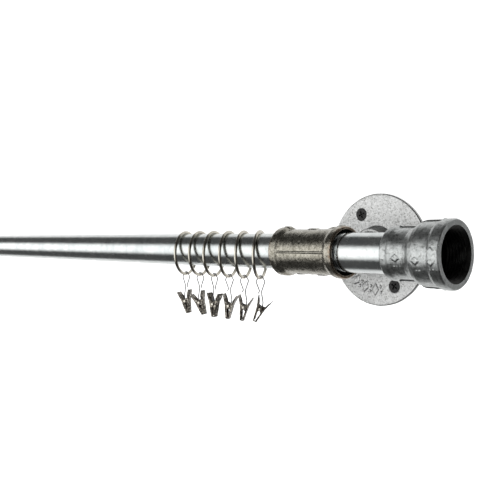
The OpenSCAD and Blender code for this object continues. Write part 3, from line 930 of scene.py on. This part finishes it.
def make_hook(k, centre, across, axis):
    """The wire: a free end, an arch over the ring, a long leg and an eye round the clip's pin."""
    short, short_r = hook_leg((0.8, -9.8), (1.6, -11.8), 1.6)
    left = [np.array((-p[0], p[1])) for p in bent(short, short_r, 0.5)][::-1]
    arch = arc((0, 0), HOOK_ARCH_R, math.pi - HOOK_FLANK, HOOK_FLANK, 14)
    points, radii = hook_leg((0.7, -10.6), (HOOK_EYE_R + 0.7, 5 - HOOK_L), 4)
    long_leg = bent(points + [(HOOK_EYE_R, -HOOK_L)], radii + [6], 0.5)
    eye = arc((0, -HOOK_L), HOOK_EYE_R, 0, -math.radians(285), 28)
    line = np.array(left + arch[1:-1] + long_leg + eye[1:])
    keep = np.concatenate([[True], np.linalg.norm(np.diff(line, axis=0), axis=1) > 0.02])
    line = line[keep]
    if HOOK_MIRRORED[k - 1]:
        line[:, 0] *= -1
    base = Frame(centre - Z * RING_R * MM, across, np.cross(across, Z))
    path = base.origin + line[:, :1] * MM * across + line[:, 1:] * MM * Z
    return swept(f"hook_{k}_piece", path, HOOK_WIRE_R)


def jaw_outline():
    """Centre line of a jaw's sheet on the -X side, from the tip up to the handle's end."""
    points = [(-TIP_X, -JAW_H + 0.25), (-WAIST_X, 0.6),
              (-HANDLE_X + 0.5, HANDLE_H - 1.9), (-HANDLE_X, HANDLE_H - 0.2)]
    return np.array(bent(points, [3.0, 1.6], 0.3))


def make_jaw(name, place, ear_u, sign, phase):
    """A stamped channel: bent plate, sides that widen into ears, toothed tip, flared handle."""
    line = jaw_outline()
    height = line[:, 1]
    slope = np.gradient(line, axis=0)
    slope /= np.linalg.norm(slope, axis=1)[:, None]
    inward = np.stack([slope[:, 1], -slope[:, 0]], 1)
    half = JAW_HALF + (ear_u - JAW_HALF) * smoothstep(-JAW_H, -3.5, height)
    half = half + (HANDLE_HALF - half) * smoothstep(2.8, 5.2, height)
    corner = np.clip((height - (HANDLE_H - 1.3)) / 1.1, 0, 1)
    half = half - 0.9 * corner**2.5
    ears = EAR_DEPTH * bump_at(-0.3, 3.6, height) ** 0.8
    below = 0.55 + 0.55 * smoothstep(-JAW_H + 0.3, -JAW_H + 1.6, height)
    above = 1.1 - 0.85 * smoothstep(3.5, HANDLE_H - 0.6, height)
    depth = np.maximum(np.where(height < 1, below, above), ears)
    crease = 0.16 * bump_at(HANDLE_H - 2.5, 0.45, height)
    crease = crease - 0.1 * bump_at(HANDLE_H - 3.3, 0.35, height)
    side_n, plate_n = 7, 11
    grid = []
    for i in range(len(line)):
        row = []
        for t in np.linspace(1, 0, side_n)[:-1]:
            row.append((-half[i], depth[i] * t))
        for u in np.linspace(-1, 1, plate_n):
            crown = -0.12 * (1 - u * u)
            row.append((u * half[i], crown - crease[i]))
        for t in np.linspace(0, 1, side_n)[1:]:
            row.append((half[i], depth[i] * t))
        grid.append([(line[i] + inward[i] * d, u) for u, d in row])
    width = len(grid[0])
    for lip in (0.35, 0.6):
        row = []
        for j in range(width):
            u = grid[0][j][1]
            tooth = 0.3 * (2 * abs(((u / TOOTH_PITCH + phase) % 1) - 0.5) - 0.5)
            reach = (TIP_X + tooth - 0.1) * lip / 0.6
            at = np.array((-TIP_X + reach, -JAW_H + 0.25 - 0.1 * lip))
            row.append((at, u * 0.98))
        grid.insert(0, row)
    flat = [cell for row in grid for cell in row]
    local = np.array([(sign * p[0], p[1], u) for p, u in flat])
    points = place(local)
    faces = [
        (i * width + j, (i + 1) * width + j, (i + 1) * width + j + 1, i * width + j + 1)
        for i in range(len(grid) - 1) for j in range(width - 1)
    ]
    obj = mesh_object(name, points, faces, sharp=50)
    thick = obj.modifiers.new("sheet", "SOLIDIFY")
    thick.thickness, thick.offset, thick.use_even_offset = SHEET_T * 0.85 * MM, 0, False
    edge = obj.modifiers.new("edge", "BEVEL")
    edge.width, edge.segments, edge.angle_limit = 0.07 * MM, 1, math.radians(50)
    baked(obj)
    outward(obj)
    obj.data.shade_smooth()
    obj.data.set_sharp_from_angle(angle=math.radians(45))
    return obj


def make_pin(name, base):
    """A rivet with domed heads."""
    half, head = 3.35, 0.42
    side = [(PIN_R, 0), (PIN_R, half), (1.15, half), (1.2, half + 0.12),
            (1.0, half + 0.3), (0.55, half + head)]
    top = side + [(0, half + head + 0.02)]
    bottom = [(r, -h) for r, h in top[:0:-1]]
    outline = rounded(bottom + top, 0.06, 0.4, closed=False)
    return turned(name, outline, base, 40, closed=False)


def make_spring(name, place):
    """A double torsion spring: leg, coil, bridge, coil, leg, in one wire."""
    leg_x, leg_z = 4.02, 5.2
    inner_u = 0.78
    start = -math.radians(24.4)
    end = -math.pi - start - SPRING_TURNS * TURN
    angles = np.linspace(start, end, 26 * SPRING_TURNS + 12)
    share = (angles - start) / (end - start)
    coil_l = SPRING_PITCH * abs(end - start) / TURN
    along = inner_u + coil_l * (1 - share)
    coil = np.stack([SPRING_R * np.cos(angles), SPRING_R * np.sin(angles), along], 1)
    leg_end = np.array((leg_x, leg_z, coil[0, 2]))
    steps = np.linspace(0, 1, 12)
    leg = [leg_end * (1 - t) + coil[0] * t for t in steps[:-1]]
    bridge = np.array((-4.2, 5.55, inner_u))
    out = [coil[-1] * (1 - t) + bridge * t for t in steps[1:]]
    turn = [bridge + np.array((-0.1, 0.35, -0.35))]
    half = np.array(leg + list(coil) + out + turn)
    other = half[::-1] * np.array((1, 1, -1))
    return swept(name, place(np.concatenate([half, other])), SPRING_WIRE_R, 10)


def make_clip_rings():
    """Every ring with its hook and clip, placed from the record's joints."""
    for k in range(1, RINGS + 1):
        swing, lean = joint(f"hook_{k}_swing"), joint(f"clip_{k}_tilt")
        centre, normal = np.array(swing["pos_m"]), np.array(swing["axis"])
        pin, u = np.array(lean["pos_m"]), np.array(lean["axis"])
        across = np.cross(u, Z)
        tilt = math.radians(CLIP_TILT[k - 1])
        e_x = across * math.cos(tilt) + Z * math.sin(tilt)
        e_z = -across * math.sin(tilt) + Z * math.cos(tilt)

        def place(local):
            """Clip coordinates (across, up, along the pin) in mm to row points in metres."""
            return pin + MM * (local[:, :1] * e_x + local[:, 1:2] * e_z + local[:, 2:3] * u)

        ring, hanger, clip, jaw = f"ring_{k}", f"hanger_{k}", f"clip_{k}", f"jaw_{k}"
        finish_piece(make_ring(k, centre, normal), "nickel_ring", ring, f"ring_{k}")
        finish_piece(make_hook(k, centre, across, u), "hook_wire", hanger, f"hook_{k}")
        fixed = make_jaw(f"clip_fixed_jaw_{k}_piece", place, FIXED_EAR_U, 1, 0)
        moving = make_jaw(f"clip_moving_jaw_{k}_piece", place, MOVING_EAR_U, -1, 0.5)
        finish_piece(fixed, "clip_jaw", clip, f"clip_fixed_jaw_{k}")
        finish_piece(moving, "clip_jaw", jaw, f"clip_moving_jaw_{k}")
        rivet = make_pin(f"clip_pin_{k}_piece", Frame(pin, e_x, u))
        finish_piece(rivet, "clip_pin", clip, f"clip_pin_{k}")
        spring = make_spring(f"clip_spring_{k}_piece", place)
        spring.data.materials.append(MATERIALS["spring_wire"])
        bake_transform(spring)
        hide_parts(f"clip_spring_{k}")


# ---- studio ----

CAMERA_AT = (0.3073, -0.4347, 0.0121)
CAMERA_YAW = 46.49
CAMERA_PITCH = -1.29
CAMERA_ROLL = -0.31
CAMERA_LENS = 47.3
CAMERA_SENSOR = 36
FLOOR_Z = -0.8
FLOOR_HALF = 12
SUN_POWER = 4.2
SUN_ANGLE = 40
BACKDROP = 1.2
ROOM_LIGHT = 1.8
DIM_LEVEL = 0.05
FRONT_EDGE = (0.66, 1.0)
BACK_EDGE = (0.1, 0.5)
BACK_LEVEL = 0.6
RIGHT_EDGE = (0.15, 0.6)
RIGHT_SHADE = 0.9


def make_camera():
    data = bpy.data.cameras.new("camera")
    data.lens, data.sensor_width = CAMERA_LENS, CAMERA_SENSOR
    data.clip_start, data.clip_end = 0.02, 100
    camera = bpy.data.objects.new("camera", data)
    yaw, pitch, roll = (math.radians(a) for a in (CAMERA_YAW, CAMERA_PITCH, CAMERA_ROLL))
    turn = Matrix.Rotation(yaw, 4, "Z") @ Matrix.Rotation(math.pi / 2 + pitch, 4, "X")
    turn = turn @ Matrix.Rotation(roll, 4, "Z")
    camera.matrix_world = Matrix.Translation(CAMERA_AT) @ turn
    bpy.context.scene.collection.objects.link(camera)
    bpy.context.scene.camera = camera


def make_floor():
    corners = ((-1, -1), (1, -1), (1, 1), (-1, 1))
    points = np.array([(x * FLOOR_HALF, y * FLOOR_HALF, FLOOR_Z) for x, y in corners], float)
    floor = mesh_object("floor", points, [(0, 1, 2, 3)])
    n = Nodes("pale_floor")
    base = n.ramp(n.noise(400, 3), ((0.3, (0.93, 0.93, 0.93)), (0.7, (0.96, 0.96, 0.96))))
    rough = n.ramp(n.noise(60, 3), ((0.3, 0.8), (0.7, 0.95)))
    floor.data.materials.append(n.done(base, rough, n.bump(n.noise(5, 2), 0.05, 0.1), 0.0))
    floor.visible_glossy = False


def make_world():
    """A grey room banded round the rod's axis: bright on the room side, dim above, below and at +X."""
    world = bpy.data.worlds.new("studio")
    bpy.context.scene.world = world
    world.use_nodes = True
    tree = world.node_tree
    back = tree.nodes["Background"]
    back.inputs["Color"].default_value = (1, 1, 1, 1)

    def value(operation, a, b=0.0, c=None):
        node = tree.nodes.new("ShaderNodeMath")
        node.operation = operation
        for socket, given in zip(node.inputs, (a, b, c)):
            if isinstance(given, bpy.types.NodeSocket):
                tree.links.new(given, socket)
            elif given is not None:
                socket.default_value = given
        return node.outputs[0]

    def ease(given, low, high):
        node = tree.nodes.new("ShaderNodeMapRange")
        node.interpolation_type = "SMOOTHSTEP"
        tree.links.new(given, node.inputs["Value"])
        node.inputs["From Min"].default_value = low
        node.inputs["From Max"].default_value = high
        return node.outputs["Result"]

    place = tree.nodes.new("ShaderNodeTexCoord")
    apart = tree.nodes.new("ShaderNodeSeparateXYZ")
    tree.links.new(place.outputs["Generated"], apart.inputs[0])
    x, y, z = (apart.outputs[axis] for axis in "XYZ")
    around = value("SQRT", value("MULTIPLY_ADD", y, y, value("MULTIPLY_ADD", z, z, 1e-6)))
    front = value("DIVIDE", value("MULTIPLY", y, -1.0), around)
    ahead = ease(front, *FRONT_EDGE)
    behind = value("MULTIPLY", ease(value("MULTIPLY", front, -1.0), *BACK_EDGE), BACK_LEVEL)
    level = value("MAXIMUM", value("MAXIMUM", ahead, behind), DIM_LEVEL)
    shade = value("MULTIPLY", ease(x, *RIGHT_EDGE), RIGHT_SHADE)
    level = value("MULTIPLY", level, value("SUBTRACT", 1.0, shade))
    seen = tree.nodes.new("ShaderNodeLightPath").outputs["Is Camera Ray"]
    lit = value("MULTIPLY", level, ROOM_LIGHT)
    backdrop = value("MULTIPLY", seen, BACKDROP)
    tree.links.new(value("MAXIMUM", lit, backdrop), back.inputs["Strength"])


def make_sun():
    """Soft light from straight above, which keeps the floor pale."""
    data = bpy.data.lights.new("sun", "SUN")
    data.energy, data.angle = SUN_POWER, math.radians(SUN_ANGLE)
    sun = bpy.data.objects.new("sun", data)
    sun.visible_glossy = False
    bpy.context.scene.collection.objects.link(sun)


make_camera()
make_floor()
make_world()
make_sun()
bpy.context.scene.view_settings.view_transform = "Standard"
make_brackets()
make_clip_rings()
